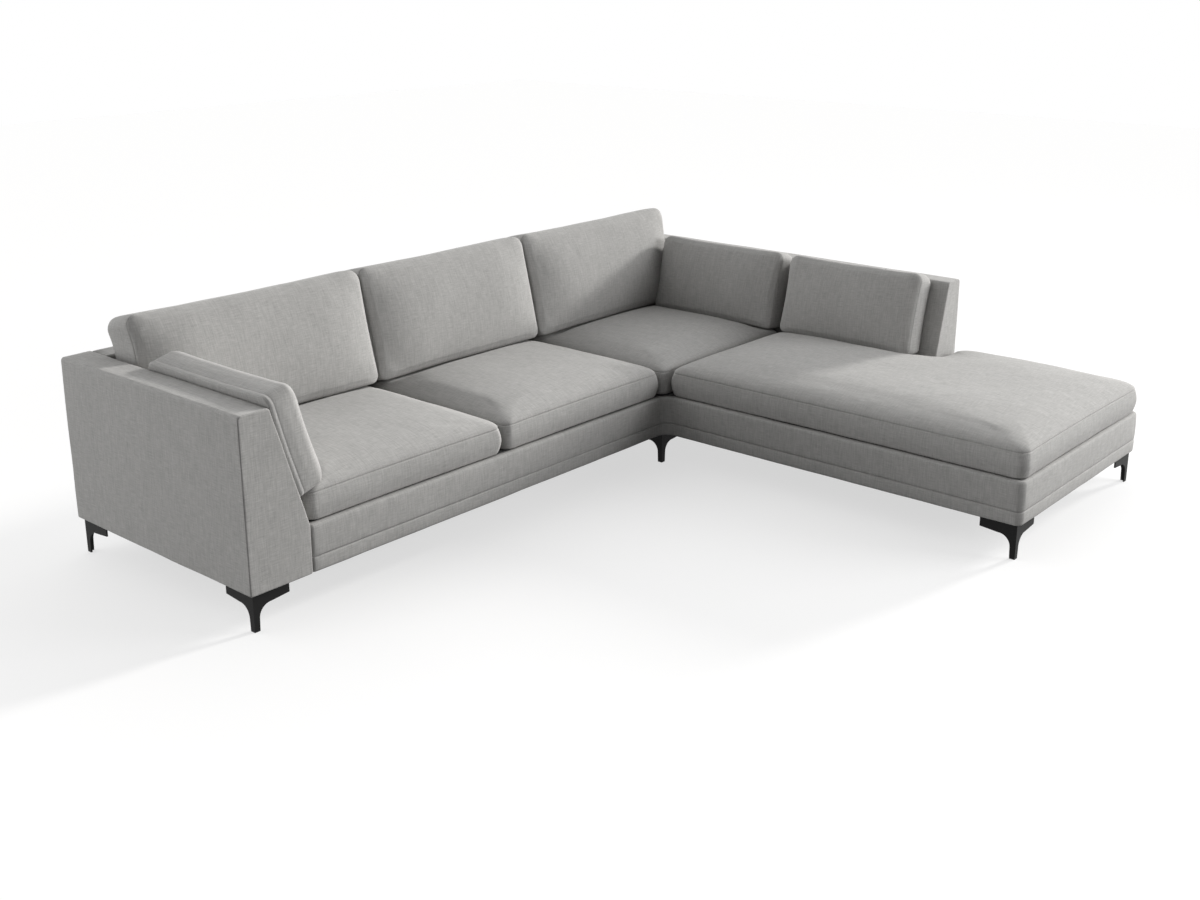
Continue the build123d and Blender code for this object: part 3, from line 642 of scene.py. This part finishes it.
# Leaning cushions: flat rear, boxing to a seam, and a crowned front panel
rear_turn = 16 * mm
turn_share = 0.3
boxing_bulge = 6 * mm
bulge_share = 0.06
seam_strip = 5 * mm
seam_half = 1.8 * mm
straight_step = 9 * mm
rear_rows = [(2.8, 0), (0.8, 0), (0.4, 0.12), (0.16, 0.42), (0.03, 1)]
leaning_spacing = 14 * mm
leaning_rear_spacing = 50 * mm
leaning_front_spacing = 15 * mm
leaning_reach = 230 * mm
leaning_swell = 6 * mm
leaning_unevenness = 1.6 * mm
leaning_wave = 400 * mm


def leaning_rows(seam, thickness, roll, rise):
    """Inset and height of each ring, from the rear to the front panel, and which ring is the seam."""
    turn = min(rear_turn, turn_share * seam)
    rows = [(inset * turn, height * turn) for inset, height in rear_rows]
    box_end = seam - seam_strip
    for share in (0.25, 0.5, 0.75):
        bulge = min(boxing_bulge, bulge_share * seam) * share * (1 - share)
        rows.append((-bulge, turn + (box_end - turn) * share))
    rows += [(0.3 * mm, box_end), (0.6 * mm, seam - seam_half)]
    rows += [(0.7 * mm, seam), (0.8 * mm, seam + seam_half)]
    seam_row = len(rows) - 2
    first, level = rows[-1]
    straight = thickness - rise - level
    steps = round(straight / straight_step)
    for k in range(1, steps + 1):
        rows.append((first, level + straight * k / steps))
    first, level = rows[-1]
    for angle in np.radians(np.linspace(8, 90, 11)):
        run = roll * (1 - math.cos(angle))
        rows.append((first + run, level + (thickness - level) * math.sin(angle)))
    return rows, seam_row


def leaning_cushion(name, start, ways, corners, radii, sizes, bed, phase, stitch=stitch_depth):
    """ways: along, up, out; sizes: seam, thickness, roll, its rise, crown; bed: lift of each point."""
    along, up, out = ways
    seam, thickness, roll, rise, crown_height = sizes
    outline = Outline(corners, radii, leaning_spacing, growth=0.6, draw_in=side_draw)
    rows, seam_row = leaning_rows(seam, thickness, roll, rise)
    low = np.min(corners, axis=0)
    high = np.max(corners, axis=0)
    reach = np.minimum((high - low) / 2, leaning_reach)

    def crown(u, v, height):
        share = rounded_share(u - low[0], reach[0]) * rounded_share(high[0] - u, reach[0])
        share = share * rounded_share(v - low[1], reach[1]) * rounded_share(high[1] - v, reach[1])
        return np.where(height > seam + seam_margin, crown_height * share, 0)

    def place(u, v, height):
        return start + np.outer(u, along) + np.outer(v, up) + np.outer(height, out)

    rings = [outline.ring(inset) for inset, height in rows]
    levels = [height for inset, height in rows]
    cushion, row_of = stacked(
        "cushion." + name, rings, levels, place, leaning_rear_spacing, leaning_front_spacing, crown
    )
    held = (row_of <= 2) | (row_of == seam_row)
    puffed(cushion, held, fullness(row_of, seam_row, len(rows)) * leaning_swell)
    settled(cushion, leaning_unevenness, leaning_wave, phase)
    points = coordinates(cushion)
    points[:, 2] += np.maximum(bed(points), 0)
    points += np.outer(np.maximum(-(points - start) @ out, 0), out)
    set_coordinates(cushion, points)
    stitched(cushion, row_of == seam_row, stitch)
    softened(cushion)
    return cushion


rest_gap = 1 * mm
x_axis, y_axis = np.eye(3)[:2]
back_up = np.array([0, math.sin(back_lean), math.cos(back_lean)])
back_out = np.array([0, -math.cos(back_lean), math.sin(back_lean)])
main_sizes = (134 * mm, 152 * mm, 24 * mm, 16 * mm, 36 * mm)
main_radii = [34 * mm, 34 * mm, 42 * mm, 38 * mm, 80 * mm]
main_height = 405 * mm
main_sink = 27 * mm
first_reach = [(75 * mm, main_height), (68 * mm, 240 * mm)]
upright = [(0, main_height)]
corner_slant = 0.20


def main_back_cushion(name, body, x0, x1, left_reach, right_slant, phase):
    """A cushion on the main back; the outer two widen where the arm and the return slope away."""
    start = np.array([x0, y_back + back_slope * (seat_bed - z_band) - rest_gap, seat_bed + rest_gap])
    width = x1 - x0
    corners = [(0, -main_sink), (width, -main_sink), (width + right_slant * main_height, main_height)]
    corners += [(-reach, height) for reach, height in left_reach]

    def bed(points):
        return seat_bed + rest_gap - points[:, 2]

    ways = (x_axis, back_up, back_out)
    cushion = leaning_cushion(name, start, ways, corners, main_radii, main_sizes, bed, phase)
    return dressed(cushion, body, name)


first_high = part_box("back_cushion_1")[1]
second_low, second_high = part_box("back_cushion_2")
third_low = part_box("back_cushion_3")[0]
end_gap = 6 * mm
x_first = x_arm - arm_slope * (seat_bed - z_band) + end_gap
x_last = x_return + back_slope * (seat_bed - z_band) - end_gap
main_back_cushion("back_cushion_1", "back_1", x_first, first_high.x, first_reach, 0, 0.7)
main_back_cushion("back_cushion_2", "back_2", second_low.x, second_high.x, upright, 0, 1.9)
main_back_cushion("back_cushion_3", "back_3", third_low.x, x_last, upright, corner_slant, 3.1)

return_up = np.array([math.sin(back_lean), 0, math.cos(back_lean)])
return_out = np.array([-math.cos(back_lean), 0, math.sin(back_lean)])
return_sizes = (97 * mm, 112 * mm, 22 * mm, 13 * mm, 24 * mm)
return_radii = [28 * mm, 28 * mm, 36 * mm, 36 * mm]
return_height = 313 * mm
return_sink = 20 * mm
meeting_gap = 24 * mm


def return_back_cushion(name, body, short, phase):
    """One of the two cushions on the return's back, which may stop short of the next."""
    low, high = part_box(name)
    x_start = x_return + back_slope * (return_bed - z_band) - rest_gap
    start = np.array([x_start, high.y - short, return_bed + rest_gap])
    width = high.y - short - low.y
    corners = [(0, -return_sink), (width, -return_sink), (width, return_height), (0, return_height)]

    def bed(points):
        return return_bed + rest_gap - points[:, 2]

    ways = (-y_axis, return_up, return_out)
    cushion = leaning_cushion(name, start, ways, corners, return_radii, return_sizes, bed, phase)
    return dressed(cushion, body, name)


return_back_cushion("back_cushion_4", "back_4", 0, 0.4)
return_back_cushion("back_cushion_5", "back_5", meeting_gap, 2.6)

pad_up = np.array([-math.sin(arm_lean), 0, math.cos(arm_lean)])
pad_out = np.array([math.cos(arm_lean), 0, math.sin(arm_lean)])
pad_overhang = 18 * mm
pad_front = pad_low.y - pad_overhang
pad_length = pad_high.y - pad_front
pad_height = 355 * mm
pad_start = np.array([x_pad + rest_gap, pad_front, z_pad])
pad_corners = [(0, 0), (pad_length, 0), (pad_length, pad_height), (0, pad_height)]
pad_radii = [24 * mm, 24 * mm, 44 * mm, 30 * mm]
pad_sizes = (18 * mm, 112 * mm, 32 * mm, 32 * mm, 8 * mm)
pad_stitch = 1.2 * mm


def pad_floor(points):
    return np.zeros(len(points))


pad_ways = (y_axis, pad_up, pad_out)
arm_pad = leaning_cushion(
    "arm_pad", pad_start, pad_ways, pad_corners, pad_radii, pad_sizes, pad_floor, 1.5, pad_stitch
)
dressed(arm_pad, "arm_pad", "arm_pad")


# Arm and backs: a sloping section along its length, with sewn ends
end_radius = 5 * mm
end_panel_inset = 8 * mm
end_inner_inset = 40 * mm
seam_depth = 1.8 * mm
seam_angle = 45
section_spacing = 36 * mm
end_spacing = 45 * mm
length_steps = 25
length_unevenness = 1.2 * mm
length_wave = 380 * mm
tuck_in = 2 * mm


def end_rows():
    """Inset and distance from the end, over a rounded edge with a seam in it."""
    rows = [(end_inner_inset, 0.0), (end_radius + end_panel_inset, 0.0)]
    for degrees in [90, 70, 54, seam_angle, 36, 20, 0]:
        angle = math.radians(degrees)
        radius = end_radius - (seam_depth if degrees == seam_angle else 0)
        rows.append((end_radius - radius * math.cos(angle), end_radius - radius * math.sin(angle)))
    return rows


def sloped_length(name, corners, ends, place, sewn, phase):
    """A length of arm or back: corners of its section, its ends at each height, and which end is sewn."""
    start, end = ends
    sewn_start, sewn_end = sewn
    outline = Outline(corners, section_radii, section_spacing, arc_steps=6)
    near = end_rows() if sewn_start else [(0.0, 0.0)]
    far = end_rows()[::-1] if sewn_end else [(0.0, 0.0)]
    rings, levels = [], []
    for inset, distance in near:
        ring = outline.ring(inset)
        rings.append(ring)
        levels.append(start(ring) + distance)
    plain = outline.ring(0.0)
    first, last = levels[-1], end(plain) - far[0][1]
    for share in np.linspace(0, 1, length_steps + 1)[1:-1]:
        rings.append(plain)
        levels.append(first + (last - first) * share)
    for inset, distance in far:
        ring = outline.ring(inset)
        rings.append(ring)
        levels.append(end(ring) - distance)
    length = stacked(name, rings, levels, place, end_spacing, end_spacing)[0]
    settled(length, length_unevenness, length_wave, phase)
    softened(length)
    return length


def section(top_width, foot_width):
    """Section corners: distance in from the outer face, and height."""
    return [
        (0, z_base),
        (foot_width, z_base),
        (foot_width, z_band),
        (top_width, z_top),
        (0, z_top),
    ]


section_radii = [7 * mm, 7 * mm, 30 * mm, 12 * mm, 12 * mm]


def level_at(value):
    return lambda ring: np.full(len(ring), value)


def main_back_face(ring):
    """Just inside the sloping face of the main back, at the height of each point."""
    return y_back + back_slope * np.maximum(ring[:, 1] - z_band, 0) + tuck_in


def arm_face(ring):
    """Just inside the sloping face of the arm, at the height of each point."""
    return x_arm - arm_slope * np.maximum(ring[:, 1] - z_band, 0) - tuck_in


def along_arm(u, v, w):
    return np.stack([x_left + u, w, v], axis=1)


def along_main_back(u, v, w):
    return np.stack([w, y_rear - u, v], axis=1)


def along_return(u, v, w):
    return np.stack([x_right - u, w, v], axis=1)


arm_section = section(arm_top_width, x_arm - x_left)
back_section = section(back_top_depth, y_rear - y_back)
module_gap = 0.7 * mm
arm_ends = (level_at(y_front), level_at(y_rear))
main_ends = (arm_face, level_at(x_split - module_gap))
corner_ends = (level_at(x_split + module_gap), level_at(x_right))
return_ends = (level_at(y_back_end), main_back_face)
for name, node, corners, ends, place, sewn, phase in [
    ("arm", "arm_cover", arm_section, arm_ends, along_arm, (True, True), 0.2),
    ("main_back", "back_cover_main", back_section, main_ends, along_main_back, (False, True), 1.3),
    ("corner_back", "back_cover_corner", back_section, corner_ends, along_main_back, (True, True), 2.4),
    ("return_back", "return_back_cover", back_section, return_ends, along_return, (True, False), 3.3),
]:
    length = sloped_length(name, corners, ends, place, sewn, phase)
    dressed(length, "frame", node)


# Outside panels: thin padded cloth that closes the rear and the outer side of the return
panel_edge = 14 * mm
panel_lift = 4 * mm
panel_drop = 16 * mm
panel_radius = 14 * mm
panel_side_spacing = 40 * mm
panel_rear_spacing = 60 * mm
panel_face_spacing = 45 * mm
panel_unevenness = 1.0 * mm
panel_wave = 420 * mm
panel_rows = [(1.5, -3), (0, 0), (0.3, 1.6), (1.6, 3), (4, 3.9), (12, 4.6), (40, 5)]


def outside_panel(name, start, end, place, phase):
    """A panel from start to end along its face, and from just above the base to just below the top edge."""
    low, high = z_base + panel_lift, z_top - panel_drop
    corners = [(start, low), (end, low), (end, high), (start, high)]
    outline = Outline(corners, [panel_radius] * 4, panel_side_spacing)
    rings = [outline.ring(inset * mm) for inset, level in panel_rows]
    levels = [level * mm for inset, level in panel_rows]
    panel = stacked(name, rings, levels, place, panel_rear_spacing, panel_face_spacing)[0]
    settled(panel, panel_unevenness, panel_wave, phase)
    softened(panel)
    return panel


def on_rear(u, v, w):
    return np.stack([u, y_rear + w, v], axis=1)


def on_outer_side(u, v, w):
    return np.stack([x_right + w, u, v], axis=1)


for name, node, start, end, place, phase in [
    ("rear_panel_main", "back_cover_main", x_left, x_split, on_rear, 0.6),
    ("rear_panel_corner", "back_cover_corner", x_split, x_right, on_rear, 1.7),
    ("side_panel_return", "return_back_cover", y_back_end, y_rear, on_outer_side, 2.9),
]:
    panel = outside_panel(name, start + panel_edge, end - panel_edge, place, phase)
    dressed(panel, "frame", node)


# Band below the cushions: one strip with a tuck, from the arm round the inner corner to the return's back
inner_corner_radius = 45 * mm
end_corner_radius = 28 * mm
band_end_radius = 9 * mm
band_gap = 1.5 * mm
band_step = 30 * mm
band_unevenness = 1.0 * mm
band_wave = 340 * mm
band_profile = [
    (27, -158), (12, -158), (8, -157.6), (4, -156), (1.4, -153), (0.3, -148),
    (-0.4, -135), (-0.6, -122), (0.0, -112), (0.6, -109.0), (6.5, -107.2), (6.5, -106.2),
    (0.8, -104.6), (-0.2, -101), (-1.0, -85), (-1.4, -60), (-1.0, -30), (0, -12),
    (1.2, -6), (3.5, -2.2), (7, -0.4), (12, 0), (27, 0),
]


def band_run(start, end, open_start, open_end):
    """Points on a straight stretch of the band, closer together at an open end, which is rounded."""
    length = np.linalg.norm(end - start)
    shares = list(np.linspace(0, length, max(2, round(length / band_step)) + 1)[1:-1])
    close = [band_end_radius * s for s in (0, 0.06, 0.2, 0.42, 0.7, 1.0)]
    if open_start:
        shares = close + [s for s in shares if s > 1.5 * band_end_radius]
    if open_end:
        shares = [s for s in shares if s < length - 1.5 * band_end_radius]
        shares += [length - s for s in close[::-1]]
    inward = left_of(unit(end - start))
    points = []
    for s in shares:
        short = 0.0
        if open_start:
            short = max(short, band_end_radius - s)
        if open_end:
            short = max(short, band_end_radius - (length - s))
        drop = band_end_radius - math.sqrt(max(band_end_radius**2 - short**2, 0))
        points.append(start + (end - start) * s / length + inward * drop)
    return np.array(points)


def band_strip():
    """The band's section swept along its path."""
    path = [
        (x_arm, y_front),
        (x_inner, y_front),
        (x_inner, y_end),
        (x_right, y_end),
        (x_right, y_back_end),
    ]
    turns = Outline(path, [0, inner_corner_radius, end_corner_radius, end_corner_radius, 0], 1, growth=-1.0)
    columns = []
    for inset, level in band_profile:
        arcs = turns.arcs(inset * mm)[1:4]
        first = np.array([x_arm + band_gap, y_front + inset * mm])
        last = np.array([x_right - inset * mm, y_back_end - band_gap])
        stretch = [
            band_run(first, arcs[0][0], True, False),
            arcs[0],
            band_run(arcs[0][-1], arcs[1][0], False, False),
            arcs[1],
            band_run(arcs[1][-1], arcs[2][0], False, False),
            arcs[2],
            band_run(arcs[2][-1], last, False, True),
        ]
        points = np.concatenate(stretch)
        columns.append(np.column_stack([points, np.full(len(points), z_band + level * mm)]))
    count = min(len(c) for c in columns)
    rows = len(columns)
    faces = []
    for row in range(rows):
        for i in range(count - 1):
            low, high = row * count + i, (row + 1) % rows * count + i
            faces.append([low, low + 1, high + 1, high])
    faces.append([row * count for row in range(rows)])
    faces.append([row * count + count - 1 for row in range(rows)][::-1])
    strip = new_piece("band", np.concatenate([c[:count] for c in columns]), faces)
    settled(strip, band_unevenness, band_wave, 0.9)
    return strip


band = band_strip()
dressed(band, "frame", "main_front_band", "return_inner_band", "return_end_band", "return_outer_band")


# Solids that stay in view keep their shape and get their finish
kept_finishes = [
    ("leg_", black_metal, "black_metal"),
    ("leg_bolts", zinc_steel, "zinc_steel"),
    ("support_legs", black_metal, "black_metal"),
    ("foot_glides", glide_plastic, "glide_plastic"),
    ("joining_", zinc_steel, "zinc_steel"),
    ("main_platform", platform_cloth, "platform_cloth"),
    ("return_platform", platform_cloth, "platform_cloth"),
    ("main_dust_cover", dust_cloth, "dust_cloth"),
    ("return_dust_cover", dust_cloth, "dust_cloth"),
    ("main_webbing", webbing_cloth, "webbing"),
    ("return_webbing", webbing_cloth, "webbing"),
]
upholstered = ["seat_cushion_", "back_cushion_", "arm_pad", "arm_cover", "back_cover_", "return_back_cover"]
upholstered += ["main_front_band", "return_inner_band", "return_end_band", "return_outer_band"]
kept_finishes += [(start, upholstery, "upholstery") for start in upholstered]
for name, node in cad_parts.items():
    finish, slot = sawn_timber, "timber"
    for start, material, label in kept_finishes:
        if name.startswith(start):
            finish, slot = material, label
    node.data.materials.clear()
    node.data.materials.append(finish)
    if finish == black_metal:
        edges = node.modifiers.new("eased_edges", "BEVEL")
        edges.width = 0.8 * mm
        edges.segments = 2
        edges.limit_method = "ANGLE"


# Studio: pale floor, white surround, low key light, soft lights from the front and the left
floor_half = 14.0
right_glow = 1.05
left_glow = 0.32
rear_glow = 1.8
scene = bpy.context.scene
scene.view_settings.view_transform = "Standard"


def seen_directly(tree):
    """1 for rays from the camera and for mirrored or refracted views, else 0."""
    rays = node_of(tree, "ShaderNodeLightPath").outputs
    seen = worked(tree, "MAXIMUM", rays["Is Camera Ray"], rays["Is Glossy Ray"])
    return worked(tree, "MAXIMUM", seen, rays["Is Transmission Ray"])


def studio_floor():
    """Looked at directly the floor is nearly white; as a source of bounced light it is grey."""
    corners = [(x * floor_half, y * floor_half, 0) for x, y in [(-1, -1), (1, -1), (1, 1), (-1, 1)]]
    floor = new_piece("floor", corners, [[0, 1, 2, 3]])
    material, tree, shader = new_material("pale_floor", (0.25, 0.25, 0.25), 1.0)
    shader.inputs["Specular IOR Level"].default_value = 0.0
    glow = node_of(tree, "ShaderNodeEmission")
    glow.inputs["Strength"].default_value = 0.64
    both = node_of(tree, "ShaderNodeAddShader")
    paper = node_of(tree, "ShaderNodeBsdfDiffuse")
    paper.inputs["Color"].default_value = (0.36, 0.36, 0.36, 1)
    tree.links.new(paper.outputs[0], both.inputs[0])
    tree.links.new(glow.outputs[0], both.inputs[1])
    choice = node_of(tree, "ShaderNodeMixShader")
    tree.links.new(seen_directly(tree), choice.inputs[0])
    tree.links.new(shader.outputs[0], choice.inputs[1])
    tree.links.new(both.outputs[0], choice.inputs[2])
    output = tree.nodes["Material Output"]
    tree.links.new(choice.outputs[0], output.inputs["Surface"])
    floor.data.materials.append(material)


def studio_surround():
    """White where it is looked at; its light comes from the right, the rear and a little from the left."""
    world = bpy.data.worlds.new("surround")
    scene.world = world
    world.use_nodes = True
    tree = world.node_tree
    tree.nodes.clear()
    soft = node_of(tree, "ShaderNodeBackground")
    soft.inputs["Color"].default_value = (1.0, 1.0, 1.0, 1)
    way = node_of(tree, "ShaderNodeSeparateXYZ")
    tree.links.new(node_of(tree, "ShaderNodeTexCoord").outputs["Generated"], way.inputs[0])
    right = worked(tree, "MULTIPLY", worked(tree, "MAXIMUM", way.outputs[0], 0.0), right_glow)
    left = worked(tree, "MULTIPLY", worked(tree, "MINIMUM", way.outputs[0], 0.0), -left_glow)
    rear = worked(tree, "MULTIPLY", worked(tree, "MAXIMUM", way.outputs[1], 0.0), rear_glow)
    sides = worked(tree, "ADD", right, left)
    tree.links.new(worked(tree, "ADD", sides, rear), soft.inputs["Strength"])
    white = node_of(tree, "ShaderNodeBackground")
    white.inputs["Color"].default_value = (1.0, 1.0, 1.0, 1)
    white.inputs["Strength"].default_value = 1.0
    choice = node_of(tree, "ShaderNodeMixShader")
    tree.links.new(seen_directly(tree), choice.inputs[0])
    tree.links.new(soft.outputs[0], choice.inputs[1])
    tree.links.new(white.outputs[0], choice.inputs[2])
    output = node_of(tree, "ShaderNodeOutputWorld")
    tree.links.new(choice.outputs[0], output.inputs["Surface"])


def studio_lights():
    """A low key light from the right, and two soft panels."""
    key = bpy.data.lights.new("key", "SUN")
    key.energy = 3.3
    key.angle = math.radians(8)
    key.color = (1.0, 0.985, 0.96)
    lamp = bpy.data.objects.new("key", key)
    lamp.rotation_euler = Vector((-0.935, 0.199, -0.292)).to_track_quat("-Z", "Y").to_euler()
    scene.collection.objects.link(lamp)
    for name, size, energy, place, way in [
        ("front", (3.0, 2.0), 155, (3.4, -4.4, 2.2), (-3.2, 4.6, -1.8)),
        ("left", (1.6, 0.8), 16, (-4.0, 2.0, 0.5), (2.5, -1.3, -0.05)),
    ]:
        soft = bpy.data.lights.new(name, "AREA")
        soft.shape = "RECTANGLE"
        soft.size, soft.size_y = size
        soft.energy = energy
        panel = bpy.data.objects.new(name, soft)
        panel.location = place
        panel.rotation_euler = Vector(way).to_track_quat("-Z", "Y").to_euler()
        scene.collection.objects.link(panel)


studio_floor()
studio_surround()
studio_lights()

camera_pitch = 16.585
camera_turn = -49.41
camera_data = bpy.data.cameras.new("camera")
camera_data.lens = 42.04
camera_data.sensor_width = 36
camera_data.shift_y = -0.0583
camera = bpy.data.objects.new("camera", camera_data)
camera.location = (-3.6969, -2.9758, 1.9193)
camera.rotation_euler = (math.radians(90 - camera_pitch), 0, math.radians(camera_turn))
scene.collection.objects.link(camera)
scene.camera = camera
